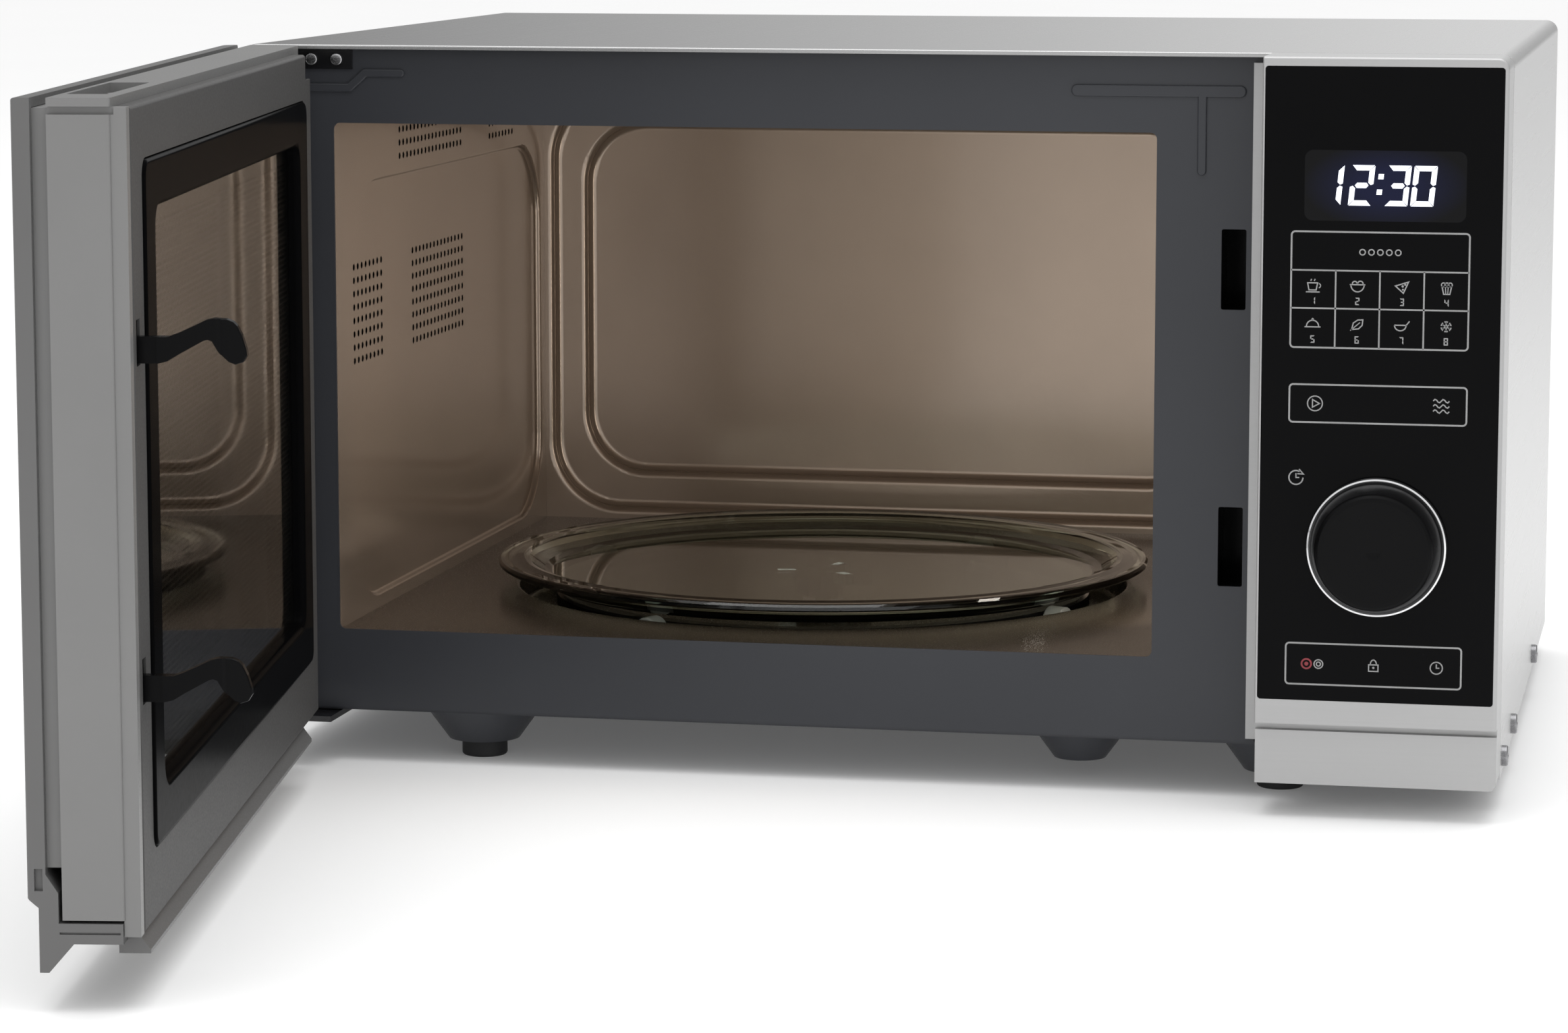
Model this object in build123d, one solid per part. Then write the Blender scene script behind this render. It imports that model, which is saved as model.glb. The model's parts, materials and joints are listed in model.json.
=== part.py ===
from build123d import *
import math
import os

os.makedirs("parts", exist_ok=True)

# ---------------------------------------------------------------- driving dimensions (mm)
# Working frame: X to the right of the cabinet's middle, Y from the closed door's outer face
# to the rear, Z up from the worktop.
CAB_W = 483.0            # cabinet width
CAB_H = 280.0            # worktop to case top
CAB_D = 395.0            # closed front face to rear panel
SHEET = 0.8              # case sheet thickness
CASE_Y0 = 30.5           # front edge of the case wrap
CASE_Z0 = 12.4           # lower edge of the case sides
CASE_R = 5.0             # bend radius of the case
BASE_Z = 20.5            # underside of the base plate
PLATE_Y = 37.5           # front face of the front plate
PLATE_Z0 = 21.3
CAV_X0, CAV_X1 = -208.0, 110.5
CAV_Z0, CAV_Z1 = 52.5, 249.7
CAV_FLANGE_Y = 355.0     # rear flange of the cavity
CAV_YB = 368.0           # deepest face of the cavity's back
CAV_T = 0.7              # cavity sheet
SLOT_X0, SLOT_X1 = 135.0, 144.2
HOOK_Z = (99.3, 203.3)   # middle of each latch hook's root
PANEL_X0 = 153.4         # left edge of the control panel
PANEL_Z0 = 13.0
GROOVE_Z = 36.0          # shadow line across door and panel
LOWER_SET = 3.5          # setback of the lower strip
KNOB_X, KNOB_Z, KNOB_R = 197.1, 102.5, 25.6
TRAY_X, TRAY_Y, TRAY_R = -48.0, 199.0, 135.0
WELL_R, WELL_Z = 126.0, 40.5
ROLL_R, ROLL_RAD, ROLL_W = 5.6, 116.5, 8.0
ROLL_Z = WELL_Z + ROLL_R + 0.35
ROLL_ANGLES = (-114.5, -24.5, 65.5, 155.5)
TRAY_Z = WELL_Z + 12.1   # underside of the tray
FEET = {"foot_front_left": (-157.0, 63.5), "foot_front_right": (157.0, 63.5),
        "foot_rear_left": (-157.0, 352.0), "foot_rear_right": (157.0, 352.0)}
FOOT_H, FOOT_R = 7.0, 8.9
HINGE_X, HINGE_Y = -232.0, 13.0
DOOR_OPEN = 80.6         # door angle in the modelled pose, degrees
DOOR_X0, DOOR_X1 = -241.5, 150.7
DOOR_IN_Y = 35.0         # door's inner face, closed
PIN_R, BUSH_R = 3.0, 3.05
# the assembly's reference point: middle of its box, on the worktop
ORIGIN_X, ORIGIN_Y = -1.0, 15.5

XC = CAB_W / 2
nodes = {}


# ---------------------------------------------------------------- helpers
def bx(x0, x1, y0, y1, z0, z1):
    return Pos((x0 + x1) / 2, (y0 + y1) / 2, (z0 + z1) / 2) * Box(x1 - x0, y1 - y0, z1 - z0)


def cyl_z(x, y, z0, z1, r):
    return Pos(x, y, (z0 + z1) / 2) * Cylinder(r, z1 - z0)


def cyl_y(x, z, y0, y1, r):
    return Pos(x, (y0 + y1) / 2, z) * Rot(90, 0, 0) * Cylinder(r, y1 - y0)


def cyl_x(y, z, x0, x1, r):
    return Pos((x0 + x1) / 2, y, z) * Rot(0, 90, 0) * Cylinder(r, x1 - x0)


def rr_y(x0, x1, z0, z1, y0, y1, r):
    pl = Plane(origin=((x0 + x1) / 2, y0, (z0 + z1) / 2), x_dir=(1, 0, 0), z_dir=(0, 1, 0))
    return extrude(pl * RectangleRounded(x1 - x0, z1 - z0, r), amount=y1 - y0)


def rr_x(y0, y1, z0, z1, x0, x1, r):
    pl = Plane(origin=(x0, (y0 + y1) / 2, (z0 + z1) / 2), x_dir=(0, 1, 0), z_dir=(1, 0, 0))
    return extrude(pl * RectangleRounded(y1 - y0, z1 - z0, r), amount=x1 - x0)


def rr_z(x0, x1, y0, y1, z0, z1, r):
    pl = Plane(origin=((x0 + x1) / 2, (y0 + y1) / 2, z0))
    return extrude(pl * RectangleRounded(x1 - x0, y1 - y0, r), amount=z1 - z0)


def poly_x(pts, x0, x1):
    # outline in (y, z), extruded along X
    pl = Plane(origin=(x0, 0, 0), x_dir=(0, 1, 0), z_dir=(1, 0, 0))
    return extrude(pl * make_face(Polyline(*pts, close=True)), amount=x1 - x0)


def poly_y(pts, y0, y1):
    # outline in (x, z), extruded along Y
    pl = Plane(origin=(0, y0, 0), x_dir=(1, 0, 0), z_dir=(0, 1, 0))
    return extrude(pl * make_face(Polyline(*[(x, -z) for x, z in pts], close=True)), amount=y1 - y0)


def poly_z(pts, z0, z1):
    pl = Plane(origin=(0, 0, z0))
    return extrude(pl * make_face(Polyline(*pts, close=True)), amount=z1 - z0)


def turned(pts):
    # (r, z) outline turned about Z
    return revolve(Plane.XZ * make_face(Polyline(*pts, close=True)), Axis.Z)


def soften(shape, pick, radius):
    # rounds the picked edges
    edges = shape.edges().filter_by(pick)
    return fillet(edges, radius)


def at(value, target, tol=0.02):
    return abs(value - target) < tol


def group(*solids):
    return Compound(children=list(solids))


# ---------------------------------------------------------------- case, base, rear
outer = bx(-XC, XC, CASE_Y0, CAB_D, CASE_Z0, CAB_H)
outer = soften(outer, lambda e: at(e.center().Z, CAB_H) and at(abs(e.center().X), XC), CASE_R)
inner = bx(-XC + SHEET, XC - SHEET, CASE_Y0 - 1, CAB_D + 1, CASE_Z0 - 1, CAB_H - SHEET)
inner = soften(inner, lambda e: at(e.center().Z, CAB_H - SHEET) and at(abs(e.center().X), XC - SHEET), CASE_R - SHEET)
hem = outer & bx(-XC, XC, CASE_Y0, CASE_Y0 + 5.5, CASE_Z0, CAB_H)
hem_in = bx(-XC + 1.7, XC - 1.7, CASE_Y0 - 1, CASE_Y0 + 6.5, CASE_Z0 - 1, CAB_H - 1.7)
hem_in = soften(hem_in, lambda e: at(e.center().Z, CAB_H - 1.7) and at(abs(e.center().X), XC - 1.7), CASE_R - 1.7)
case = (outer - inner) + (hem - hem_in)
case = soften(case, lambda e: at(e.center().Y, CASE_Y0) and (
    at(abs(e.center().X), XC) or at(e.center().Z, CAB_H)
    or (e.center().Z > CAB_H - 1.6 and abs(e.center().X) > XC - 1.6)), 0.7)
SIDE_SCREWS = [(s, y) for s in (-1, 1) for y in (46.0, 112.0, 274.0)]
SIDE_SCREW_Z = 18.4
for s, y in SIDE_SCREWS:
    case -= cyl_x(y, SIDE_SCREW_Z, s * XC - 4, s * XC + 4, 1.95)
nodes["outer_case"] = case

base = bx(-240.5, 240.5, PLATE_Y + 0.8, 394.2, BASE_Z, BASE_Z + 1)
for s in (-1, 1):
    base += bx(min(s * 239.7, s * 240.5), max(s * 239.7, s * 240.5), 40, 394.2, CASE_Z0 + 0.2, 33.0)
bosses = list(FEET.values()) + [(80.0, 63.5)]
for i, (fx, fy) in enumerate(bosses):
    r1, r0, zb = (24.5, 14.0, FOOT_H) if i < 4 else (19.5, 10.0, 8.5)
    h = BASE_Z + 1 - zb
    shell = Pos(fx, fy, zb + h / 2) * Cone(r0, r1, h)
    hollow = Pos(fx, fy, zb + 1 + h / 2) * Cone(r0 - 0.4, r1 - 0.4, h)
    base = (base + shell) - hollow
    if i < 4:
        base -= cyl_z(fx, fy, 0, 20, 3.2)
for s, y in SIDE_SCREWS:
    base -= cyl_x(y, SIDE_SCREW_Z, s * 240 - 4, s * 240 + 4, 1.95)
for i in range(9):
    base -= rr_z(60 + i * 14, 66 + i * 14, 300, 336, BASE_Z - 1, BASE_Z + 2, 2.9)
    base -= rr_z(-200 + i * 14, -194 + i * 14, 300, 336, BASE_Z - 1, BASE_Z + 2, 2.9)
nodes["base_plate"] = base

rear = bx(-240.5, 240.5, 394.2, CAB_D, BASE_Z, 279.0)
rear = soften(rear, lambda e: at(abs(e.center().X), 240.5) and at(e.center().Z, 279.0), 4.6)
REAR_SCREWS = [(-228, 266), (0, 270), (228, 266), (-228, 40), (0, 30), (228, 40)]
for x, z in REAR_SCREWS:
    rear -= cyl_y(x, z, 390, 400, 2.0)
for i in range(12):
    for j in range(3):
        rear -= rr_y(132 + i * 8, 135.6 + i * 8, 130 + j * 36, 160 + j * 36, 390, 400, 1.7)
for i in range(14):
    rear -= rr_y(-190 + i * 9, -186 + i * 9, 226, 252, 390, 400, 1.9)
GLAND_X, GLAND_Z = 196.0, 58.0
rear -= cyl_y(GLAND_X, GLAND_Z, 390, 400, 8.0)
nodes["rear_panel"] = rear

gland = cyl_y(GLAND_X, GLAND_Z, 388.0, 394.2, 9.8) + cyl_y(GLAND_X, GLAND_Z, 394.2, CAB_D, 7.8) \
    + cyl_y(GLAND_X, GLAND_Z, CAB_D, CAB_D + 2.6, 10.4)
gland -= cyl_y(GLAND_X, GLAND_Z, 380, 400, 3.6)
nodes["cord_gland"] = gland

screws = []
for s, y in SIDE_SCREWS:
    x0 = s * XC
    head = cyl_x(y, SIDE_SCREW_Z, min(x0, x0 + s * 2.2), max(x0, x0 + s * 2.2), 3.9)
    shank = cyl_x(y, SIDE_SCREW_Z, min(x0, x0 - s * 7), max(x0, x0 - s * 7), 1.7)
    head = soften(head, lambda e, c=x0 + s * 2.2: at(e.center().X, c), 0.8)
    xe = x0 + s * 2.2
    head -= bx(min(xe, xe - s * 1.2), max(xe, xe - s * 1.2), y - 2.3, y + 2.3, SIDE_SCREW_Z - 0.5, SIDE_SCREW_Z + 0.5)
    head -= bx(min(xe, xe - s * 1.2), max(xe, xe - s * 1.2), y - 0.5, y + 0.5, SIDE_SCREW_Z - 2.3, SIDE_SCREW_Z + 2.3)
    screws.append(head + shank)
for x, z in REAR_SCREWS:
    head = cyl_y(x, z, CAB_D, CAB_D + 2.2, 3.9)
    head = soften(head, lambda e: at(e.center().Y, CAB_D + 2.2), 0.8)
    head -= bx(x - 2.3, x + 2.3, CAB_D + 1.0, CAB_D + 2.2, z - 0.5, z + 0.5)
    head -= bx(x - 0.5, x + 0.5, CAB_D + 1.0, CAB_D + 2.2, z - 2.3, z + 2.3)
    screws.append(head + cyl_y(x, z, CAB_D - 7, CAB_D, 1.7))
nodes["case_screws"] = group(*screws)

for name, (fx, fy) in FEET.items():
    foot = cyl_z(fx, fy, 0, FOOT_H, FOOT_R)
    foot = soften(foot, lambda e: at(e.center().Z, 0), 1.2)
    foot += cyl_z(fx, fy, FOOT_H, FOOT_H + 3.4, 2.9)
    nodes[name] = foot

# ---------------------------------------------------------------- front plate and oven cavity
pb = PLATE_Y + 0.8
plate = bx(-240.5, 149.5, PLATE_Y, pb, PLATE_Z0, 278.8)
plate = soften(plate, lambda e: at(e.center().X, -240.5) and at(e.center().Z, 278.8), 4.8)
plate += bx(-235.0, 149.5, pb, 48, 278.0, 278.8)
plate += bx(-240.5, -239.7, pb, 48, 34.0, 273.0)
plate -= rr_y(CAV_X0, CAV_X1, CAV_Z0, CAV_Z1, PLATE_Y - 3, pb + 3, 2.5)
for hz in HOOK_Z:
    plate -= rr_y(SLOT_X0, SLOT_X1, hz - 19.0, hz + 11.0, PLATE_Y - 3, pb + 3, 0.8)


def rib(pts, width, proud):
    # raised half-round-edged rib along a bent line on the plate's face
    body = None
    for (xa, za), (xb, zb) in zip(pts[:-1], pts[1:]):
        dx, dz = xb - xa, zb - za
        ln = math.hypot(dx, dz)
        ang = math.degrees(math.atan2(dz, dx))
        seg = Pos((xa + xb) / 2, PLATE_Y, (za + zb) / 2) * Rot(0, -ang, 0) * \
            rr_y(-ln / 2 - width / 2, ln / 2 + width / 2, -width / 2, width / 2, -proud, 0.0, width / 2 - 0.05)
        body = seg if body is None else body + seg
    return body


RIB_H = 1.0
ribs = rib([(80.6, 265.2), (141.4, 265.2)], 4.4, RIB_H) + rib([(127.3, 265.2), (127.3, 235.8)], 3.4, RIB_H)
ribs += rib([(-217.6, 263.3), (-201.3, 263.3), (-195.0, 269.0), (-181.0, 269.0)], 3.2, RIB_H)
ribs = soften(ribs, lambda e: at(e.center().Y, PLATE_Y - RIB_H), 0.6)
plate += ribs
nodes["front_plate"] = plate

left = bx(CAV_X0 - CAV_T, CAV_X0, pb, CAV_FLANGE_Y, CAV_Z0, CAV_Z1)
PAN_Y0, PAN_Y1, PAN_Z0, PAN_Z1, PAN_R, PAN_D = 60.0, 346.0, 58.0, 224.0, 34.0, 2.4
left += rr_x(PAN_Y0 - CAV_T, PAN_Y1 + CAV_T, PAN_Z0 - CAV_T, PAN_Z1 + CAV_T, CAV_X0 - PAN_D - CAV_T, CAV_X0 - CAV_T, PAN_R + CAV_T)
dish = rr_x(PAN_Y0, PAN_Y1, PAN_Z0, PAN_Z1, CAV_X0 - PAN_D, CAV_X0 + 1, PAN_R)
dish = soften(dish, lambda e: at(e.center().X, CAV_X0 - PAN_D), 1.2)
left -= dish
left = soften(left, lambda e: at(e.center().X, CAV_X0) and e.center().Y > PAN_Y0 - 1 and e.center().Y < PAN_Y1 + 1
              and e.center().Z > PAN_Z0 - 1 and e.center().Z < PAN_Z1 + 1, 1.0)
PERF_R, PERF_P = 1.35, 5.3
perf = []
for y0, cols, z0, rows in ((64.0, 9, 154.0, 8), (151.0, 15, 154.0, 8), (126.0, 18, 231.5, 3), (262.0, 8, 231.5, 3)):
    for i in range(cols):
        for j in range(rows):
            perf.append(cyl_x(y0 + i * PERF_P, z0 + j * PERF_P, CAV_X0 - 6, CAV_X0 + 2, PERF_R))
left = left.cut(*perf) if hasattr(left, "cut") else left - perf
nodes["cavity_left_wall"] = left

right = bx(CAV_X1, CAV_X1 + CAV_T, pb, CAV_FLANGE_Y, CAV_Z0, CAV_Z1)
right -= bx(CAV_X1 - 1, CAV_X1 + 2, 176, 264, 140, 190)
perf = []
for i in range(7):
    for j in range(5):
        perf.append(cyl_x(90 + i * PERF_P, 200 + j * PERF_P, CAV_X1 - 2, CAV_X1 + 3, PERF_R))
right = right.cut(*perf) if hasattr(right, "cut") else right - perf
nodes["cavity_right_wall"] = right
cx0, cx1 = CAV_X0 - CAV_T, CAV_X1 + CAV_T
nodes["cavity_roof"] = bx(cx0, cx1, pb, CAV_FLANGE_Y, CAV_Z1, CAV_Z1 + CAV_T)

floor = bx(cx0, cx1, pb, CAV_FLANGE_Y, CAV_Z0 - CAV_T, CAV_Z0)
floor += cyl_z(TRAY_X, TRAY_Y, WELL_Z - CAV_T, CAV_Z0, WELL_R + CAV_T)
well = cyl_z(TRAY_X, TRAY_Y, WELL_Z, CAV_Z0 + 5, WELL_R)
well = soften(well, lambda e: at(e.center().Z, WELL_Z), 3.0)
floor -= well
floor = soften(floor, lambda e: at(e.center().Z, CAV_Z0) and e.length > 500 and e.geom_type == GeomType.CIRCLE, 2.0)
floor -= cyl_z(TRAY_X, TRAY_Y, WELL_Z - 3, WELL_Z + 3, 9.0)
nodes["cavity_floor"] = floor

# back wall: a two-step pressing with rounded corners
fy = CAV_FLANGE_Y
air = bx(CAV_X0 - 2, CAV_X1 + 2, fy - 20, fy, CAV_Z0 - 2, CAV_Z1 + 2)
air += rr_y(CAV_X0 + 4, CAV_X1 - 4, CAV_Z0 + 5, CAV_Z1 - 4, fy - 2, fy + 6.4, 30)
air = soften(air, lambda e: at(e.center().Y, fy + 6.4), 3.0)
air = soften(air, lambda e: at(e.center().Y, fy) and e.center().X > CAV_X0 + 1 and e.center().X < CAV_X1 - 1
             and e.center().Z > CAV_Z0 + 1 and e.center().Z < CAV_Z1 - 1, 3.0)
air2 = rr_y(CAV_X0 + 18, CAV_X1 - 18, CAV_Z0 + 21, CAV_Z1 - 18, fy - 2, CAV_YB, 27)
air2 = soften(air2, lambda e: at(e.center().Y, CAV_YB), 3.2)
air = air + air2
air = soften(air, lambda e: at(e.center().Y, fy + 6.4) and e.center().X > CAV_X0 + 14 and e.center().X < CAV_X1 - 14
             and e.center().Z > CAV_Z0 + 15 and e.center().Z < CAV_Z1 - 14, 3.0)
BACK_T = 1.6
skin = bx(cx0, cx1, fy, fy + BACK_T, CAV_Z0 - CAV_T, CAV_Z1 + CAV_T)
skin += rr_y(CAV_X0 + 4 - BACK_T, CAV_X1 - 4 + BACK_T, CAV_Z0 + 5 - BACK_T, CAV_Z1 - 4 + BACK_T, fy, fy + 6.4 + BACK_T, 30 + BACK_T)
skin += rr_y(CAV_X0 + 18 - BACK_T, CAV_X1 - 18 + BACK_T, CAV_Z0 + 21 - BACK_T, CAV_Z1 - 18 + BACK_T, fy, CAV_YB + BACK_T, 27 + BACK_T)
nodes["cavity_back_wall"] = skin - air

# ---------------------------------------------------------------- microwave source and wiring side
wx = CAV_X1 + CAV_T
guide = bx(wx, wx + 24, 150, 296, 134, 196) - bx(wx - 1, wx + 23, 151, 295, 135, 195)
guide += bx(wx, wx + 0.9, 142, 304, 196, 204) + bx(wx, wx + 0.9, 142, 304, 126, 134)
MAG_Y, MAG_Z = 250.0, 165.0
guide -= cyl_x(MAG_Y, MAG_Z, wx + 20, wx + 26, 11.0)
nodes["waveguide"] = guide
mica = rr_x(168, 272, 132, 198, CAV_X1 - 0.8, CAV_X1, 5.0)
nodes["waveguide_cover"] = mica
mx = wx + 24
yoke = bx(mx, mx + 68, MAG_Y - 42, MAG_Y + 42, MAG_Z - 34, MAG_Z + 34) - bx(mx + 1.6, mx + 66.4, MAG_Y - 43, MAG_Y + 43, MAG_Z - 32.4, MAG_Z + 32.4)
yoke -= cyl_x(MAG_Y, MAG_Z, mx - 1, mx + 70, 10.4)

anode = cyl_x(MAG_Y, MAG_Z, mx + 14, mx + 54, 19.0)
anode += cyl_x(MAG_Y, MAG_Z, mx + 1.6, mx + 14, 26.0) + cyl_x(MAG_Y, MAG_Z, mx + 54, mx + 66.4, 26.0)
for i in range(5):
    anode += bx(mx + 18 + i * 7.5, mx + 18.8 + i * 7.5, MAG_Y - 38, MAG_Y + 38, MAG_Z - 30, MAG_Z + 30)
anode += cyl_x(MAG_Y, MAG_Z, wx + 6, mx + 1.6, 8.0)
anode += cyl_x(MAG_Y, MAG_Z, mx + 66.4, mx + 76, 9.5)
nodes["magnetron_anode"] = anode
fb = bx(mx + 68, mx + 96, MAG_Y - 26, MAG_Y + 26, MAG_Z - 28, MAG_Z + 28) - bx(mx + 67, mx + 95, MAG_Y - 25, MAG_Y + 25, MAG_Z - 27, MAG_Z + 27)
nodes["magnetron_yoke"] = group(yoke, fb)

bt = BASE_Z + 1
tx0, ty0 = 132.0, 98.0
core = bx(tx0, tx0 + 92, ty0, ty0 + 54, bt, bt + 78)
core -= bx(tx0 + 15, tx0 + 34, ty0 - 1, ty0 + 55, bt + 16, bt + 62)
core -= bx(tx0 + 58, tx0 + 77, ty0 - 1, ty0 + 55, bt + 16, bt + 62)
nodes["transformer_core"] = core


def coil(z0, z1):
    body = rr_z(tx0 + 15.4, tx0 + 76.6, ty0 - 15, ty0 + 69, z0, z1, 12)
    return body - rr_z(tx0 + 33.6, tx0 + 58.4, ty0 - 0.4, ty0 + 54.4, z0 - 1, z1 + 1, 0.3)


nodes["transformer_windings"] = group(coil(bt + 17, bt + 36), coil(bt + 40, bt + 61))
cap = rr_z(176, 212, 300, 354, bt + 1.2, bt + 92, 17.5)
cap += cyl_z(186, 327, bt + 92, bt + 100, 3) + cyl_z(202, 327, bt + 92, bt + 100, 3)
diode = cyl_y(202, bt + 104.5, 310, 330, 4.5)
nodes["hv_capacitor"] = group(cap, diode)
clamp = rr_z(174.6, 213.4, 298.6, 355.4, bt + 30, bt + 46, 18.9) - rr_z(176, 212, 300, 354, bt + 29, bt + 47, 17.5)
clamp += bx(213.0, 228, 320, 334, bt + 30, bt + 46) + bx(226.5, 228, 320, 334, bt, bt + 30) + bx(214, 228, 320, 334, bt, bt + 1.2)
nodes["capacitor_clamp"] = clamp

FAN_X, FAN_Z, FAN_R = 178.0, 176.0, 48.0
shroud = bx(124, 234, 340, 343, 118, 236) + bx(124, 126.5, 343, 394.2, 118, 236) + bx(231.5, 234, 343, 394.2, 118, 236)
shroud -= cyl_y(FAN_X, FAN_Z, 330, 350, FAN_R + 3)
shroud += cyl_y(FAN_X, FAN_Z, 334, 343, FAN_R + 5) - cyl_y(FAN_X, FAN_Z, 330, 350, FAN_R + 3)
for zz in (FAN_Z + 24, FAN_Z - 30):
    shroud += bx(124, 234, 384, 386.5, zz, zz + 6)
nodes["fan_shroud"] = shroud
fm = bx(FAN_X - 24, FAN_X + 24, 366, 384, FAN_Z - 28, FAN_Z + 34) + cyl_y(FAN_X, FAN_Z, 360, 366, 10)
fm -= cyl_y(FAN_X, FAN_Z, 355, 390, 2.55)
nodes["fan_motor"] = fm
imp = cyl_y(FAN_X, FAN_Z, 338, 356, 11.0) + cyl_y(FAN_X, FAN_Z, 356, 382, 2.5)
for i in range(6):
    blade = Pos(FAN_X, 347, FAN_Z) * Rot(0, 60 * i, 0) * Pos(28, 0, 0) * Rot(32, 0, 0) * Box(38, 1.6, 22)
    imp += blade
nodes["fan_impeller"] = imp
nodes["line_filter_board"] = bx(132, 214, 272, 330, 262, 263.6) + bx(146, 172, 284, 306, 240, 262) + cyl_z(196, 300, 244, 262, 10) \
    + bx(134, 138, 274, 278, 263.6, 279.2) + bx(208, 212, 274, 278, 263.6, 279.2)
nodes["lamp_holder"] = bx(wx, wx + 3, 84, 130, 194, 228) - bx(wx - 1, wx + 4, 88, 126, 198, 224) + bx(wx + 1, wx + 40, 130, 133, 196, 226) \
    + cyl_y(wx + 20, 211, 118, 130, 13)
nodes["oven_lamp"] = cyl_y(wx + 20, 211, 108, 118, 8) + Pos(wx + 20, 100, 211) * Sphere(12)
nodes["thermal_cutout"] = cyl_x(330, 225, wx, wx + 10, 8.0) + bx(wx, wx + 1.2, 318, 342, 219, 231)

# ---------------------------------------------------------------- turntable drive
tz1 = WELL_Z - CAV_T
motor = cyl_z(TRAY_X, TRAY_Y, tz1 - 15, tz1, 24.5) + rr_z(TRAY_X - 34, TRAY_X + 34, TRAY_Y - 8, TRAY_Y + 8, tz1 - 1.2, tz1, 7.5)
motor -= cyl_z(TRAY_X, TRAY_Y, tz1 - 11, tz1 + 1, 3.55)
nodes["turntable_motor"] = motor
coupler = cyl_z(0, 0, tz1 - 10, WELL_Z + 4, 3.5) + cyl_z(0, 0, WELL_Z + 0.6, WELL_Z + 10.1, 8.2)
for i in range(3):
    coupler += Rot(0, 0, 120 * i + 15) * bx(0, 20, -2.6, 2.6, WELL_Z + 5.5, WELL_Z + 11.1)
nodes["turntable_coupler"] = Pos(TRAY_X, TRAY_Y, 0) * coupler

# radius and height above the underside
tray_pts = [(0, 0), (112, 0), (115.5, 0.6), (118.5, 2.2), (122, 5.4), (125, 6.8), (129, 7.3), (134, 7.6),
            (135, 8.3), (135, 9.6), (134.2, 10.5), (133, 10.7), (130.8, 10.3), (128, 10.4), (124.6, 10.8), (122.2, 10.4), (119, 8.0),
            (116, 5.6), (113, 4.8), (0, 4.8)]
tray = turned([(r, TRAY_Z + h) for r, h in tray_pts])
for i in range(3):
    tray += Rot(0, 0, 120 * i + 75) * bx(11.5, 19, -2.6, 2.6, TRAY_Z - 4.0, TRAY_Z + 0.1)
nodes["glass_tray"] = Pos(TRAY_X, TRAY_Y, 0) * tray

ring = turned([(r, WELL_Z + h) for r, h in ((103.0, 3.1), (111.0, 3.1), (111.0, 8.1), (110.0, 9.1), (104.0, 9.1), (103.0, 8.1))])
for a in ROLL_ANGLES:
    ring += Rot(0, 0, a) * cyl_x(0, ROLL_Z, 108, ROLL_RAD + ROLL_W / 2 + 1.6, 1.5)
    ring += Rot(0, 0, a) * cyl_x(0, ROLL_Z, ROLL_RAD + ROLL_W / 2 + 0.4, ROLL_RAD + ROLL_W / 2 + 1.6, 2.4)
ring = Pos(TRAY_X, TRAY_Y, 0) * ring
nodes["roller_ring"] = ring
for i, a in enumerate(ROLL_ANGLES):
    roll = cyl_x(0, ROLL_Z, ROLL_RAD - ROLL_W / 2, ROLL_RAD + ROLL_W / 2, ROLL_R)
    roll = soften(roll, lambda e: e.geom_type == GeomType.CIRCLE, 0.8)
    roll -= cyl_x(0, ROLL_Z, ROLL_RAD - 10, ROLL_RAD + 10, 1.55)
    nodes["roller_%d" % (i + 1)] = Pos(TRAY_X, TRAY_Y, 0) * Rot(0, 0, a) * roll

# ---------------------------------------------------------------- control panel
px0, px1 = PANEL_X0, XC
frame = poly_x([(0, GROOVE_Z), (0, CAB_H), (29, CAB_H), (29, PANEL_Z0), (LOWER_SET, PANEL_Z0), (LOWER_SET, GROOVE_Z - 3),
                (6.0, GROOVE_Z - 2.8), (6.0, GROOVE_Z - 0.3)], px0, px1)
frame = soften(frame, lambda e: at(e.center().X, px1) and at(e.center().Z, CAB_H) and at(e.center().Y, 14.5), 4.2)
frame = soften(frame, lambda e: at(e.center().X, px1) and at(e.center().Z, PANEL_Z0) and e.length > 20, 2.6)
frame = soften(frame, lambda e: at(e.center().Y, 0) and not at(e.center().Z, GROOVE_Z) and not at(e.center().X, px0), 1.3)
frame = soften(frame, lambda e: at(e.center().X, px0) and e.length > 15 and at(e.center().Y, 0), 0.6)
hollow = poly_x([(3.4, GROOVE_Z + 6), (3.4, CAB_H - 2.2), (31, CAB_H - 2.2), (31, PANEL_Z0 + 2.2), (6.2, PANEL_Z0 + 2.2), (6.2, GROOVE_Z - 7),
                 (8.2, GROOVE_Z - 5), (8.2, GROOVE_Z + 2)], px0 + 2.2, px1 - 2.2)
frame -= hollow
neck = bx(px0 + 1.2, px1 - 3.2, 28, 36.9, 23.0, CAB_H - 3.2) - bx(px0 + 3.2, px1 - 5.2, 27, 38, 25.0, CAB_H - 5.2)
neck += bx(px0 + 1.2, px1 - 1.0, 26.8, 29.0, 14.0, CAB_H - 1.0) - bx(px0 + 3.2, px1 - 5.2, 26, 30, 25.0, CAB_H - 5.2)
frame += neck
frame += bx(146.4, px0 + 1.4, 35.6, 36.9, 23.0, 276.0)
FAS_X0, FAS_X1, FAS_Z0, FAS_Z1 = px0 + 0.9, px1 - 1.5, 45.0, 276.6
fas_out = rr_y(FAS_X0, FAS_X1, FAS_Z0, FAS_Z1, -1, 2.0, 1.2)
frame -= fas_out
frame -= bx(177.0, 220.0, 1.0, 4.0, 222.0, 248.0)
frame -= cyl_y(KNOB_X, KNOB_Z, 1.0, 5.0, 9.0)
for sx in (164.0, 231.0):
    for sz in (70.0, 262.0):
        frame += cyl_y(sx, sz, 3.0, 12.0, 3.0)
nodes["control_panel_frame"] = frame
fascia = rr_y(FAS_X0 + 0.05, FAS_X1 - 0.05, FAS_Z0 + 0.05, FAS_Z1 - 0.05, 0.1, 2.0, 1.15)
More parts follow.
